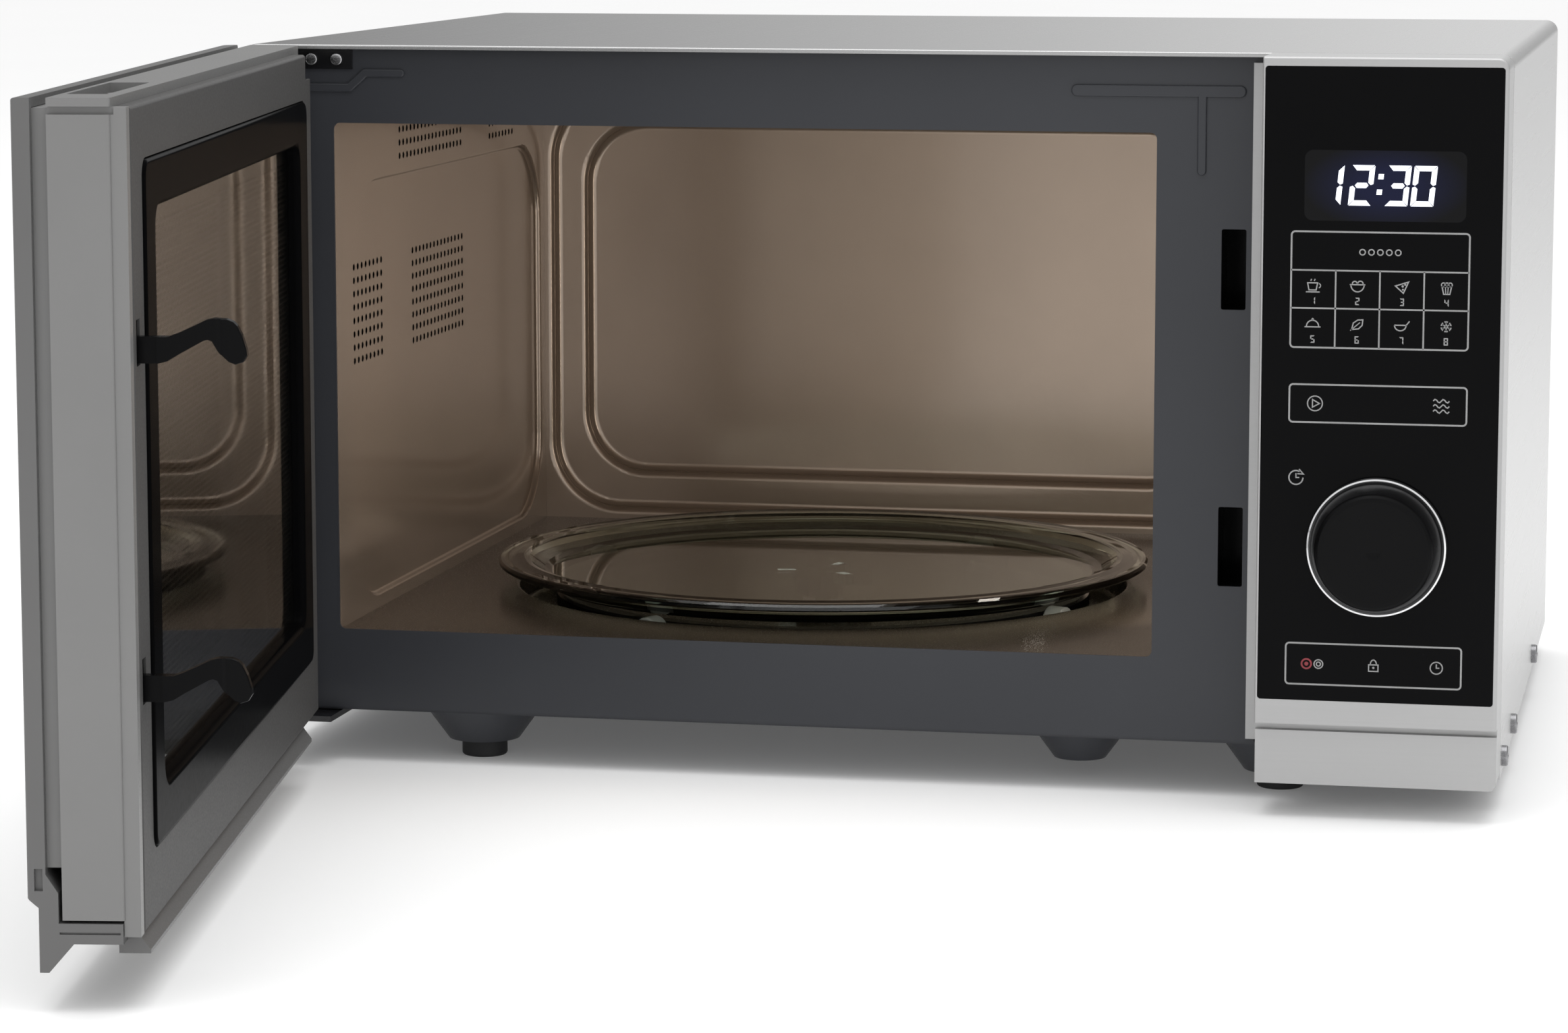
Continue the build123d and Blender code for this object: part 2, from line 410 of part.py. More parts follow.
fascia -= cyl_y(KNOB_X, KNOB_Z, -1, 3, 7.0)
fascia = soften(fascia, lambda e: at(e.center().Y, 0.1) and not at(e.center().Z, KNOB_Z, 8), 0.35)
nodes["fascia_panel"] = fascia
board = bx(158, 237, 12.0, 13.6, 60, 270) + bx(170, 184, 13.6, 24, 150, 180) + bx(196, 226, 13.6, 26, 140, 176)
display = bx(178, 219, 4.4, 12.0, 223, 247)
enc = bx(KNOB_X - 7, KNOB_X + 7, 6.0, 12.0, KNOB_Z - 7, KNOB_Z + 7) + cyl_y(KNOB_X, KNOB_Z, 2.6, 6.0, 5.0)
enc -= cyl_y(KNOB_X, KNOB_Z, 0, 10.0, 3.05)
nodes["control_board"] = group(board, display, enc)
shaft = cyl_y(KNOB_X, KNOB_Z, -11.0, 9.5, 3.0)
nodes["encoder_shaft"] = shaft
knob = turned([(0, 0.4), (24.9, 0.4), (24.9, 1.0), (24.0, 1.0), (24.0, 3.4), (23.4, 4.4), (21.4, 14.4), (20.9, 15.4), (20.0, 16.0),
               (18.6, 16.1), (0, 15.5)])
for i in range(36):
    a = math.radians(10 * i)
    knob -= Pos(24.4 * math.cos(a), 24.4 * math.sin(a), 9.4) * Rot(0, 0, 10 * i) * Rot(0, -11.3, 0) * Cylinder(0.75, 9.0)
knob = Pos(KNOB_X, 0, KNOB_Z) * Rot(90, 0, 0) * knob
knob -= cyl_y(KNOB_X, KNOB_Z, -11.0, 3, 3.0)
nodes["selector_knob"] = knob
kring = turned([(24.05, 1.0), (25.6, 1.0), (25.6, 2.4), (25.2, 3.2), (24.6, 3.4), (24.05, 3.2)])
nodes["knob_ring"] = Pos(KNOB_X, 0, KNOB_Z) * Rot(90, 0, 0) * kring

# ---------------------------------------------------------------- door interlock
brk = bx(128, 152, pb, 76, HOOK_Z[0] - 26, HOOK_Z[1] + 22)
for hz in HOOK_Z:
    brk -= bx(133.4, 145.8, pb - 1, 73, hz - 20, hz + 16)
brk -= bx(127, 145.8, pb + 6, 73, HOOK_Z[0] + 24, HOOK_Z[1] - 28)
SWITCHES = [(49.5, HOOK_Z[1] + 1), (62.0, HOOK_Z[1] + 1), (57.0, HOOK_Z[0] + 1)]
for sy, sz in SWITCHES:
    brk -= cyl_x(sy, sz, 144, 153, 2.4)
nodes["interlock_bracket"] = brk
sw, pl = [], []
for sy, sz in SWITCHES:
    body = bx(152, 162.3, sy - 5, sy + 5, sz - 14, sz + 10) - cyl_x(sy, sz, 151, 160.4, 1.55)
    body += bx(162.3, 168, sy - 2.5, sy - 1.9, sz - 11, sz - 8) + bx(162.3, 168, sy - 2.5, sy - 1.9, sz + 2, sz + 5)
    sw.append(body)
    pl.append(cyl_x(sy, sz, 146.6, 158.0, 1.5))
nodes["interlock_switches"] = group(*sw)
nodes["switch_plungers"] = group(*pl)

# ---------------------------------------------------------------- hinge brackets: one on the front plate, one under the base
UP_Z0, UP_Z1 = 270.9, 273.3      # upper bracket's arm
LO_Z0, LO_Z1 = 17.8, 20.0        # lower bracket's arm
upper = bx(HINGE_X - 5.5, HINGE_X + 5.5, HINGE_Y, PLATE_Y, UP_Z0, UP_Z1) + cyl_z(HINGE_X, HINGE_Y, UP_Z0, UP_Z1, 5.5)
upper += bx(HINGE_X - 5.5, -200.0, PLATE_Y - 1.4, PLATE_Y, 270.4, 277.8)
upper += cyl_z(HINGE_X, HINGE_Y, 253.0, UP_Z0 + 0.2, PIN_R)
for x in (-216.0, -206.0):
    upper += cyl_y(x, 274.2, PLATE_Y - 2.1, PLATE_Y - 1.4, 2.4)
nodes["hinge_upper"] = upper
lower = bx(HINGE_X - 5.5, HINGE_X + 5.5, HINGE_Y, 38.0, LO_Z0, LO_Z1) + cyl_z(HINGE_X, HINGE_Y, LO_Z0, LO_Z1, 5.5)
lower += bx(-232.0, -208.0, 24.0, 62.0, LO_Z0, LO_Z1) + bx(-232.0, -208.0, 40.0, 62.0, LO_Z1, BASE_Z)
lower += cyl_z(HINGE_X, HINGE_Y, LO_Z1 - 0.2, 34.6, PIN_R)
for x in (-226.0, -214.0):
    lower += cyl_z(x, 52.0, LO_Z0 - 0.8, LO_Z0, 2.6)
nodes["hinge_lower"] = lower

# ---------------------------------------------------------------- door, drawn closed
door = {}
dx0, dx1 = DOOR_X0, DOOR_X1
RIM_Y1 = 30.0            # rear face of the inner moulding
dfr = poly_x([(0, CAB_H), (0, GROOVE_Z), (LOWER_SET, GROOVE_Z - 3), (LOWER_SET, 12.8), (6.4, 12.8), (14.2, 21.8), (29.4, 21.8), (29.4, 28.2),
              (9.6, 28.2), (9.6, 37.6), (5.8, 43.5), (5.8, CAB_H)], dx0, dx1)
dfr = soften(dfr, lambda e: at(e.center().X, dx0) and at(e.center().Y, 0) and e.length > 100, 5.4)
dfr = soften(dfr, lambda e: at(e.center().Y, 0) and (at(e.center().Z, CAB_H) or at(e.center().X, dx1)), 1.2)
dfr -= bx(dx0 + 3.0, dx1 - 3.0, 3.2, 7.0, 44.6, CAB_H - 3.0)
dfr -= bx(dx1 - 0.8, dx1 + 1, 9.8, 28.6, 24.8, 25.5)
DG_X0, DG_X1, DG_Z0, DG_Z1 = -231.5, 148.0, 45.0, 276.6
dfr -= rr_y(DG_X0, DG_X1, DG_Z0, DG_Z1, -1, 2.0, 1.2)
dfr -= rr_y(-205, 110, 56, 256, 1.0, 5.0, 8)
dfr -= bx(dx0 - 1, -219.0, -1, 20, 10, 23.4) + bx(dx0 - 1, -219.0, 6.0, 41, 10, 44.0)
dfr -= bx(dx0 - 1, -221.0, 3.4, 20, 268.4, 275.6)
dfr += poly_x([(26.8, 17.6), (36.6, 17.6), (36.6, 18.8), (33.4, 23.2), (29.2, 23.2), (26.8, 22.2)], -200, 144.0)
dfr -= bx(dx1 - 1.5, dx1 + 1, 2.3, 4.9, 38.3, 45.2)
door["door_frame"] = dfr
dgl = rr_y(DG_X0 + 0.05, DG_X1 - 0.05, DG_Z0 + 0.05, DG_Z1 - 0.05, 0.1, 2.0, 1.15)
dgl = soften(dgl, lambda e: at(e.center().Y, 0.1), 0.35)
door["door_outer_glass"] = dgl

rim = bx(dx0, dx1, 10.8, RIM_Y1, 29.2, CAB_H)
rim = soften(rim, lambda e: at(e.center().X, dx0) and at(e.center().Y, RIM_Y1) and e.length > 100, 8.2)
rim = soften(rim, lambda e: at(e.center().X, dx1) and at(e.center().Y, RIM_Y1) and e.length > 100, 1.0)
rim -= bx(dx0 + 5.4, dx1 - 2.5, 18.4, RIM_Y1 - 2.0, 31.7, CAB_H - 2.5)
rim -= bx(dx0 + 5.4, dx1 - 5.4, 5.0, 20.0, 33.0, CAB_H - 5.2)
rim -= bx(-222, 142.2, 20, 32, 38.0, 263.0)
tongue = bx(dx0 + 3.2, dx1 - 3.2, 3.5, 11.0, 45.0, CAB_H - 3.2) - bx(dx0 + 5.4, dx1 - 5.4, 3, 12, 47.1, CAB_H - 5.2)
rim += tongue
rim += bx(144.9, dx1 - 0.9, RIM_Y1 - 0.4, 34.8, 24.0, 277.2)
rim += bx(-239, -225.4, 6.8, 19.0, 252.0, 268.4) + bx(-239, -225.4, 16.0, 24.0, 23.0, 36.0) + bx(-239, -225.4, 6.8, 19.0, 22.0, 36.0)
rim -= bx(dx0 - 1, -221.0, 3.4, 40, 268.4, 275.6)
rim -= cyl_z(HINGE_X, HINGE_Y, 245, 269, 5.0) + cyl_z(HINGE_X, HINGE_Y, 20, 40, 5.0)
for hz in HOOK_Z:
    rim += bx(140.2, dx1 - 2.0, 20.0, 27.5, hz + 8.0, hz + 14.0)
pocket = rr_z(56.0, 128.0, 12.6, 25.2, CAB_H - 9, CAB_H + 1, 1.2)
rim += rr_z(54.5, 129.5, 11.4, 26.4, CAB_H - 10.2, CAB_H - 2, 2.0)
rim -= pocket
rim += cyl_z(79.0, 18.9, CAB_H - 9.5, CAB_H - 2.2, 3.0) + bx(77.8, 80.2, 12.0, 25.6, CAB_H - 9.5, CAB_H - 4.5)
rim -= bx(dx1 - 2.0, dx1 + 1, 10.0, 31.0, 275.0, 277.4)
door["door_inner_frame"] = rim
bush_u = cyl_z(HINGE_X, HINGE_Y, 252.0, 268.4, 4.97) - cyl_z(HINGE_X, HINGE_Y, 240, 280, BUSH_R)
bush_l = cyl_z(HINGE_X, HINGE_Y, 21.8, 36.0, 4.97) + cyl_z(HINGE_X, HINGE_Y, 20.6, 21.8, 6.6) - cyl_z(HINGE_X, HINGE_Y, 10, 40, BUSH_R)
door["hinge_bushes"] = group(bush_u, bush_l)

SP_X0, SP_X1, SP_Z0, SP_Z1 = -231.0, 144.6, 24.0, 277.2
CH_X0, CH_X1, CH_Z0, CH_Z1 = -215.0, 127.0, 46.0, 260.4    # choke cover outline
WN_X0, WN_X1, WN_Z0, WN_Z1 = -194.0, 108.5, 64.0, 244.0    # window in the choke cover
iy = DOOR_IN_Y
pan = bx(SP_X0, SP_X1, RIM_Y1, iy, SP_Z0, SP_Z1)
pan = soften(pan, lambda e: at(e.center().Y, iy), 1.2)
pan -= bx(SP_X0 + 0.8, SP_X1 - 0.8, 28, iy - 0.8, SP_Z0 + 0.8, SP_Z1 - 0.8)
pan += rr_y(CH_X0 - 0.8, CH_X1 + 0.8, CH_Z0 - 0.8, CH_Z1 + 0.8, 20.0, iy - 0.4, 6.8)
pan -= rr_y(CH_X0, CH_X1, CH_Z0, CH_Z1, 20.8, iy + 1, 6.0)
pan += rr_y(WN_X0 - 7.8, WN_X1 + 7.8, WN_Z0 - 7.8, WN_Z1 + 7.8, 20.4, 31.0, 6.0)
pan -= rr_y(WN_X0 - 7.0, WN_X1 + 7.0, WN_Z0 - 7.0, WN_Z1 + 7.0, 19.0, iy + 1, 5.4)
pan -= bx(SP_X0 - 1, -218.0, 20, 40, 267.6, 280)
for hz in HOOK_Z:
    pan -= bx(135.0, 140.8, 28, 40, hz - 5.0, hz + 9.2)
door["door_screen_plate"] = pan
door["window_screen"] = rr_y(WN_X0 - 6.9, WN_X1 + 6.9, WN_Z0 - 6.9, WN_Z1 + 6.9, 30.2, 30.8, 5.3)
door["inner_film"] = rr_y(WN_X0 - 7.4, WN_X1 + 7.4, WN_Z0 - 7.4, WN_Z1 + 7.4, 31.0, 31.5, 5.6)
cov = rr_y(CH_X0 + 0.3, CH_X1 - 0.3, CH_Z0 + 0.3, CH_Z1 - 0.3, 31.5, iy + 1.0, 5.7)
cov = soften(cov, lambda e: at(e.center().Y, iy + 1.0), 1.6)
hole = rr_y(WN_X0, WN_X1, WN_Z0, WN_Z1, 20, iy + 3, 7.0)
cov -= hole
cov = soften(cov, lambda e: at(e.center().Y, iy + 1.0) and e.center().X > WN_X0 - 1 and e.center().X < WN_X1 + 1
             and e.center().Z > WN_Z0 - 1 and e.center().Z < WN_Z1 + 1, 2.4)
leg = rr_y(CH_X0 + 4, CH_X1 - 4, CH_Z0 + 4, CH_Z1 - 4, 20.8, 31.6, 4.0) - rr_y(CH_X0 + 6, CH_X1 - 6, CH_Z0 + 6, CH_Z1 - 6, 20, 32, 2.5)
door["choke_cover"] = cov + leg

hook_out = [(-17, 4.1), (9.3, 4.1), (12.5, 5.2), (21.0, 9.2), (23.2, 9.7), (27.3, 9.5), (29.2, 8.7), (30.5, 7.4), (32.0, 4.3), (33.2, 0.2),
            (33.4, -1.6), (32.2, -3.6), (29.8, -4.4), (27.6, -3.5), (25.1, -1.0), (22.9, 2.8), (21.6, 3.3), (20.4, 3.0),
            (13.1, -1.0), (9.3, -3.3), (6.0, -4.1), (-17, -4.1)]
bar = bx(136.0, 139.8, 18.0, 27.0, HOOK_Z[0] - 8, HOOK_Z[1] + 6)
for hz in HOOK_Z:
    hk = poly_x([(iy + a, hz + b) for a, b in hook_out], 136.0, 139.8)
    hk = soften(hk, lambda e: e.center().Y > iy + 1 and (at(e.center().X, 136.0) or at(e.center().X, 139.8)), 0.5)
    pad = poly_z([(139.0, iy + 6.0), (140.9, iy + 6.0), (140.9, iy + 24.4), (139.8, iy + 25.5), (139.0, iy + 25.5)], hz - 10, hz + 12)
    hk = hk + (pad & poly_x([(iy + a, hz + b) for a, b in hook_out], 138.5, 142.0))
    bar += hk
door["latch_bar"] = bar
sp = Pos(137.9, 22.5, HOOK_Z[0] - 26.0) * sweep(Plane(origin=(2.2, 0, 0), z_dir=(0, 1, 0.2)) * Circle(0.35), path=Helix(2.8, 16.8, 2.2))
door["latch_spring"] = sp

hinge_axis = Axis((HINGE_X, HINGE_Y, 0), (0, 0, 1))
for name, shape in door.items():
    turned_solids = [solid.rotate(hinge_axis, -DOOR_OPEN) for solid in shape.solids()]
    nodes[name] = turned_solids[0] if len(turned_solids) == 1 else group(*turned_solids)

# ---------------------------------------------------------------- write each piece
for name, shape in nodes.items():
    placed = [Pos(-ORIGIN_X, -ORIGIN_Y, 0) * solid for solid in shape.solids()]
    export_step(placed[0] if len(placed) == 1 else group(*placed), "parts/%s.step" % name)
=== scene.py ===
import bpy
import bmesh
import json
import math
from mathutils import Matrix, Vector


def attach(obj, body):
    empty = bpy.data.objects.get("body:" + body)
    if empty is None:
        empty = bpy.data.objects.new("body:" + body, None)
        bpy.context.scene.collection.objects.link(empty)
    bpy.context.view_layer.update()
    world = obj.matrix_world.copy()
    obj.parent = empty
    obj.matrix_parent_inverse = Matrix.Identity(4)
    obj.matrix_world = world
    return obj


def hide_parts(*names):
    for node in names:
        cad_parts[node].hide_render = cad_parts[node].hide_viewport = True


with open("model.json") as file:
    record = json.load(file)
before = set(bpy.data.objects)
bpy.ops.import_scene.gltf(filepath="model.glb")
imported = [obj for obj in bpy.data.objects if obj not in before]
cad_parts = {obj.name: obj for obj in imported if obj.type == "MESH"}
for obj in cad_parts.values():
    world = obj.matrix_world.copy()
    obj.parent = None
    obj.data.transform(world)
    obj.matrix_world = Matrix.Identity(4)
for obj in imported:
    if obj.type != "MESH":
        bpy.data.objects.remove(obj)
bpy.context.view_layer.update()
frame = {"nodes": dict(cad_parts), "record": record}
N = frame["nodes"]
scene = bpy.context.scene

# ------------------------------------------------------------------ places
# Millimetres in the cabinet's drawing: X from its middle, Y from the closed front to the rear, Z up.
OX, OY = -1.0, 15.5
HX, HY, SWING = -232.0, 13.0, math.radians(-80.6)


def V(x, y, z):
    return Vector(((x - OX) / 1000.0, (y - OY) / 1000.0, z / 1000.0))


def D(x, y, z):
    # a place on the closed door, carried to where the door stands open
    dx, dy = x - HX, y - HY
    c, s = math.cos(SWING), math.sin(SWING)
    return V(HX + dx * c - dy * s, HY + dx * s + dy * c, z)


# ------------------------------------------------------------------ materials
def start(name):
    m = bpy.data.materials.new(name)
    m.use_nodes = True
    nt = m.node_tree
    nt.nodes.clear()
    out = nt.nodes.new("ShaderNodeOutputMaterial")
    b = nt.nodes.new("ShaderNodeBsdfPrincipled")
    nt.links.new(b.outputs["BSDF"], out.inputs["Surface"])
    co = nt.nodes.new("ShaderNodeTexCoord")
    return m, nt, b, co.outputs["Object"]


def stretched(nt, coord, scale):
    mp = nt.nodes.new("ShaderNodeMapping")
    mp.inputs["Scale"].default_value = scale
    nt.links.new(coord, mp.inputs["Vector"])
    return mp.outputs["Vector"]


def noise(nt, coord, scale, detail=3.0, rough=0.55):
    n = nt.nodes.new("ShaderNodeTexNoise")
    n.inputs["Scale"].default_value = scale
    n.inputs["Detail"].default_value = detail
    n.inputs["Roughness"].default_value = rough
    nt.links.new(coord, n.inputs["Vector"])
    return n.outputs["Fac"]


def tones(nt, fac, stops):
    r = nt.nodes.new("ShaderNodeValToRGB")
    el = r.color_ramp.elements
    while len(el) < len(stops):
        el.new(0.5)
    for e, (p, c) in zip(el, stops):
        e.position = p
        e.color = (c[0], c[1], c[2], 1.0)
    nt.links.new(fac, r.inputs["Fac"])
    return r.outputs["Color"]


def span(nt, fac, lo, hi, a=0.3, b=0.7):
    r = nt.nodes.new("ShaderNodeMapRange")
    r.inputs["From Min"].default_value = a
    r.inputs["From Max"].default_value = b
    r.inputs["To Min"].default_value = lo
    r.inputs["To Max"].default_value = hi
    nt.links.new(fac, r.inputs["Value"])
    return r.outputs["Result"]


def bumped(nt, b, height, strength, dist):
    n = nt.nodes.new("ShaderNodeBump")
    n.inputs["Strength"].default_value = strength
    n.inputs["Distance"].default_value = dist
    nt.links.new(height, n.inputs["Height"])
    nt.links.new(n.outputs["Normal"], b.inputs["Normal"])


def shade(c, k):
    return tuple(max(0.0, min(1.0, v * k)) for v in c)


def surface(name, color, rough, metal=0.0, var=0.07, rvar=0.06, cloud=9.0, grain=900.0, stretch=(1, 1, 1),
            bump=0.08, depth=0.00006, spec=0.5, coat=0.0, coat_rough=0.08, coat_ior=1.5):
    # slow tone drift, fine grain in the gloss and a shallow grain in the surface
    m, nt, b, co = start(name)
    slow = noise(nt, co, cloud, 4.0)
    nt.links.new(tones(nt, slow, [(0.3, shade(color, 1 - var)), (0.7, shade(color, 1 + var))]), b.inputs["Base Color"])
    fine = noise(nt, stretched(nt, co, stretch), grain, 3.0)
    nt.links.new(span(nt, fine, max(0.02, rough - rvar), min(1.0, rough + rvar)), b.inputs["Roughness"])
    if bump > 0:
        bumped(nt, b, fine, bump, depth)
    b.inputs["Metallic"].default_value = metal
    b.inputs["Specular IOR Level"].default_value = spec
    b.inputs["Coat Weight"].default_value = coat
    b.inputs["Coat Roughness"].default_value = coat_rough
    b.inputs["Coat IOR"].default_value = coat_ior
    return m


def brushed(name, color, rough, along, metal=0.9, var=0.10, line=0.10, spread=0.07):
    # sheet with fine drawn lines running along one axis
    m, nt, b, co = start(name)
    st = [700.0, 700.0, 700.0]
    st["xyz".index(along)] = 5.0
    lines = noise(nt, stretched(nt, co, tuple(st)), 1.6, 2.0)
    slow = noise(nt, co, 6.0, 3.0)
    mix = nt.nodes.new("ShaderNodeMix")
    mix.data_type = "FLOAT"
    mix.inputs["Factor"].default_value = 0.35
    nt.links.new(lines, mix.inputs["A"])
    nt.links.new(slow, mix.inputs["B"])
    nt.links.new(tones(nt, mix.outputs["Result"], [(0.32, shade(color, 1 - var)), (0.68, shade(color, 1 + var))]), b.inputs["Base Color"])
    nt.links.new(span(nt, lines, rough - spread, rough + spread), b.inputs["Roughness"])
    bumped(nt, b, lines, line, 0.00003)
    b.inputs["Metallic"].default_value = metal
    return m


def clear(name, tint, rough, ior, wob=0.02, density=0.0):
    # clear glass or film with a faint wave in its surface
    m, nt, b, co = start(name)
    slow = noise(nt, co, 40.0, 2.0)
    nt.links.new(tones(nt, slow, [(0.3, shade(tint, 0.97)), (0.7, tint)]), b.inputs["Base Color"])
    nt.links.new(span(nt, slow, rough, rough + 0.02), b.inputs["Roughness"])
    bumped(nt, b, noise(nt, co, 25.0, 1.0), wob, 0.0002)
    b.inputs["Transmission Weight"].default_value = 1.0
    b.inputs["IOR"].default_value = ior
    return m


def glow(name, color, strength, rough=0.4):
    m, nt, b, co = start(name)
    n = noise(nt, co, 500.0, 2.0)
    nt.links.new(tones(nt, n, [(0.3, shade(color, 0.92)), (0.7, color)]), b.inputs["Emission Color"])
    nt.links.new(tones(nt, n, [(0.3, shade(color, 0.80)), (0.7, shade(color, 0.9))]), b.inputs["Base Color"])
    b.inputs["Emission Strength"].default_value = strength
    b.inputs["Roughness"].default_value = rough
    return m


M = {}
M["case_silver"] = brushed("case_silver", (0.40, 0.40, 0.40), 0.27, "y", metal=0.8, var=0.006, line=0.002, spread=0.005)
M["plate_charcoal"] = surface("plate_charcoal", (0.039, 0.041, 0.047), 0.34, var=0.05, grain=1400, bump=0.05, spec=0.30)
M["zinc_steel"] = surface("zinc_steel", (0.55, 0.56, 0.57), 0.38, metal=0.9, var=0.05, cloud=45.0, grain=600, bump=0.03)
M["cavity_enamel"] = surface("cavity_enamel", (0.29, 0.224, 0.172), 0.22, metal=0.45, var=0.05, rvar=0.05, cloud=14.0, grain=1600, bump=0.05,
                             depth=0.00003, coat=0.5, coat_rough=0.12)
M["cavity_enamel_vented"] = surface("cavity_enamel_vented", (0.29, 0.224, 0.172), 0.22, metal=0.45, var=0.05, rvar=0.05, cloud=14.0, grain=1600, bump=0.05, depth=0.00003, coat=0.5, coat_rough=0.12)
# painted shade: the cavity floor is the cavity enamel darkened about sevenfold, with less gloss, to stand for the shade
# under the tray
M["floor_enamel"] = surface("floor_enamel", (0.040, 0.031, 0.022), 0.24, metal=0.15, var=0.06, rvar=0.05, cloud=14.0, grain=1600, bump=0.05,
                            depth=0.00003, spec=0.3, coat=0.12, coat_rough=0.10)
M["foot_rubber"] = surface("foot_rubber", (0.018, 0.018, 0.019), 0.7, var=0.2, grain=2200, bump=0.25)
M["screw_steel"] = surface("screw_steel", (0.30, 0.30, 0.31), 0.28, metal=1.0, var=0.15, grain=1500)
M["black_plastic"] = surface("black_plastic", (0.0032, 0.0032, 0.0035), 0.22, var=0.15, grain=1800, bump=0.04, spec=0.06)
M["grey_plastic"] = surface("grey_plastic", (0.40, 0.40, 0.39), 0.45, grain=1800, bump=0.12)
M["roller_grey"] = surface("roller_grey", (0.22, 0.22, 0.215), 0.38, grain=1800, bump=0.12)
M["white_plastic"] = surface("white_plastic", (0.70, 0.70, 0.67), 0.42, grain=1800, bump=0.1)
M["red_plastic"] = surface("red_plastic", (0.42, 0.02, 0.02), 0.4, grain=1800, bump=0.1)
M["circuit_board"] = surface("circuit_board", (0.015, 0.10, 0.035), 0.35, var=0.35, cloud=160.0, grain=2500)
M["mica"] = surface("mica", (0.50, 0.43, 0.32), 0.55, var=0.14, cloud=60.0, grain=800, stretch=(1, 1, 0.2), bump=0.2)
M["aluminium"] = brushed("aluminium", (0.72, 0.72, 0.73), 0.32, "z")
M["core_steel"] = brushed("core_steel", (0.16, 0.15, 0.145), 0.5, "x", metal=0.7)
M["copper"] = brushed("copper", (0.55, 0.21, 0.09), 0.35, "x")
M["motor_steel"] = brushed("motor_steel", (0.48, 0.48, 0.48), 0.36, "y")
M["lamp_glass"] = clear("lamp_glass", (0.98, 0.96, 0.90), 0.04, 1.45)
M["tray_glass"] = clear("tray_glass", (0.74, 0.83, 0.74), 0.02, 1.47)
M["trim_silver"] = brushed("trim_silver", (0.42, 0.42, 0.42), 0.40, "x", metal=0.45, var=0.02, line=0.015, spread=0.02)
M["fascia_black"] = surface("fascia_black", (0.0030, 0.0030, 0.0033), 0.10, var=0.12, rvar=0.02, grain=300, bump=0.0, spec=0.045)
M["knob_black"] = surface("knob_black", (0.0034, 0.0034, 0.0037), 0.32, var=0.2, grain=2600, bump=0.15, spec=0.08)
M["chrome_ring"] = surface("chrome_ring", (0.78, 0.78, 0.79), 0.10, metal=1.0, var=0.04, rvar=0.03, grain=700, bump=0.02)
M["hinge_black"] = surface("hinge_black", (0.008, 0.008, 0.009), 0.20, var=0.2, grain=1500, bump=0.08, spec=0.6)
M["door_glass"] = surface("door_glass", (0.0034, 0.0034, 0.0038), 0.07, var=0.12, rvar=0.015, grain=200, bump=0.0, spec=0.10)
M["door_grey"] = surface("door_grey", (0.188, 0.187, 0.185), 0.36, var=0.04, cloud=12.0, grain=1700, bump=0.10, spec=0.5)
M["door_trim"] = surface("door_trim", (0.124, 0.123, 0.122), 0.40, var=0.04, cloud=12.0, grain=1700, bump=0.08, spec=0.4)
M["door_steel"] = surface("door_steel", (0.082, 0.081, 0.080), 0.42, var=0.04, grain=1200, bump=0.05, spec=0.04)
M["screen_metal"] = surface("screen_metal", (0.015, 0.0125, 0.010), 0.35, metal=0.5, var=0.15, grain=900, bump=0.05)
M["film_clear"] = clear("film_clear", (0.96, 0.95, 0.92), 0.012, 1.35, wob=0.003)
M["cover_black"] = surface("cover_black", (0.0026, 0.0026, 0.0028), 0.20, var=0.15, rvar=0.03, grain=500, bump=0.02, spec=0.004)
M["spring_steel"] = surface("spring_steel", (0.55, 0.55, 0.56), 0.25, metal=1.0, var=0.1, grain=2000)
M["ink_grey"] = surface("ink_grey", (0.30, 0.30, 0.30), 0.5, var=0.10, cloud=120.0, grain=2500, bump=0.08)
M["ink_red"] = surface("ink_red", (0.24, 0.025, 0.035), 0.5, var=0.12, cloud=120.0, grain=2500, bump=0.08)
M["digit_white"] = glow("digit_white", (0.86, 0.90, 1.0), 1.15)

slot_of = {s["node"]: s["material_slot"] for s in frame["record"]["subparts"]}
for name, obj in N.items():
    m = M[slot_of[name]]
    if not obj.material_slots:
        obj.data.materials.append(m)
    for s in obj.material_slots:
        s.material = m


def paint_vent_shade(m):
    # painted shade: the hole walls inside the perforations, behind the sheet's inner face, are coloured near black to
    # stand for the shade inside the holes
    nt = m.node_tree
    b = next(n for n in nt.nodes if n.type == "BSDF_PRINCIPLED")
    was = b.inputs["Base Color"].links[0].from_socket
    sep = nt.nodes.new("ShaderNodeSeparateXYZ")
    nt.links.new(nt.nodes.new("ShaderNodeTexCoord").outputs["Object"], sep.inputs["Vector"])

    def test(op, a, limit):
        t = nt.nodes.new("ShaderNodeMath")
        t.operation = op
        nt.links.new(a, t.inputs[0])
        if isinstance(limit, float):
            t.inputs[1].default_value = limit
        else:
            nt.links.new(limit, t.inputs[1])
        return t.outputs["Value"]
    dish = test("LESS_THAN", sep.outputs["X"], (-210.46 - OX) / 1000.0)
    above = test("MULTIPLY", test("LESS_THAN", sep.outputs["X"], (-208.06 - OX) / 1000.0), test("GREATER_THAN", sep.outputs["Z"], 0.228))
    mix = nt.nodes.new("ShaderNodeMix")
    mix.data_type = "RGBA"
    nt.links.new(test("MAXIMUM", dish, above), mix.inputs[0])
    nt.links.new(was, mix.inputs[6])
    # near-black painted shade colour for the hole walls
    mix.inputs[7].default_value = (0.004, 0.0035, 0.003, 1.0)
    nt.links.new(mix.outputs[2], b.inputs["Base Color"])


paint_vent_shade(M["cavity_enamel_vented"])
for s in N["cavity_left_wall"].material_slots:
    s.material = M["cavity_enamel_vented"]


# ------------------------------------------------------------------ flat artwork on the fascia
FY = 0.1          # the fascia's face
INK = 0.05        # thickness of the printed lines, mm


